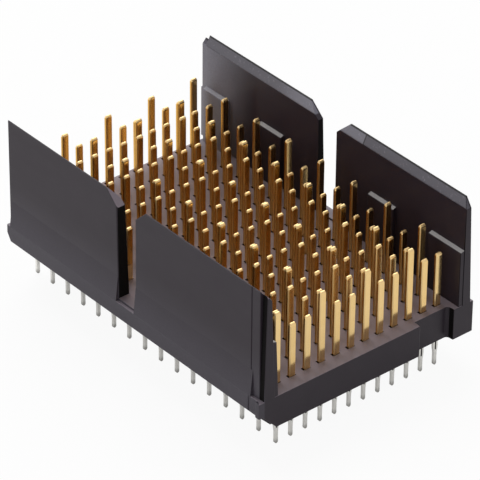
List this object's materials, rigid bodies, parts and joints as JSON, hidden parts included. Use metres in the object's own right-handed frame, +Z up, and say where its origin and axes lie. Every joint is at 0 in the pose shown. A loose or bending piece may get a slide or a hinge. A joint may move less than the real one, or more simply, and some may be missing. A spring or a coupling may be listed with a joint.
{
  "type": "vertical press-fit backplane pin header",
  "caption": "Press-fit backplane header: a dense grid of gold blades between two tall slotted guide walls, with spring-eye tails below that press into a circuit board.",
  "frame": {"origin": "middle of the pin field on the underside of the housing, which seats on the board", "axes": "+Z up to the mating side, +X along the side walls towards the end with the notch, +Y across the rows towards the far wall, which leans inwards"},
  "size_m": [0.0308, 0.0209, 0.0148],
  "materials": {
    "housing": "black glass-filled moulded plastic, fine matt grain with a faint grey sheen",
    "contacts": "stamped copper alloy, gold plated blade above the housing and matt tin plated tail below it"
  },
  "bodies": {
    "root": {"housing": "housing", "signal_pins_01": "contacts", "signal_pins_02": "contacts", "signal_pins_03": "contacts", "signal_pins_04": "contacts", "signal_pins_05": "contacts", "signal_pins_06": "contacts", "signal_pins_07": "contacts", "signal_pins_08": "contacts", "signal_pins_09": "contacts", "signal_pins_10": "contacts", "signal_pins_11": "contacts", "signal_pins_12": "contacts", "signal_pins_13": "contacts", "signal_pins_14": "contacts", "signal_pins_15": "contacts", "signal_pins_16": "contacts", "ground_pins_01": "contacts", "ground_pins_02": "contacts", "ground_pins_03": "contacts", "ground_pins_04": "contacts", "ground_pins_05": "contacts", "ground_pins_06": "contacts", "ground_pins_07": "contacts", "ground_pins_08": "contacts", "ground_pins_09": "contacts", "ground_pins_10": "contacts", "ground_pins_11": "contacts", "ground_pins_12": "contacts", "ground_pins_13": "contacts", "ground_pins_14": "contacts", "ground_pins_15": "contacts", "ground_pins_16": "contacts"}
  },
  "joints": []
}
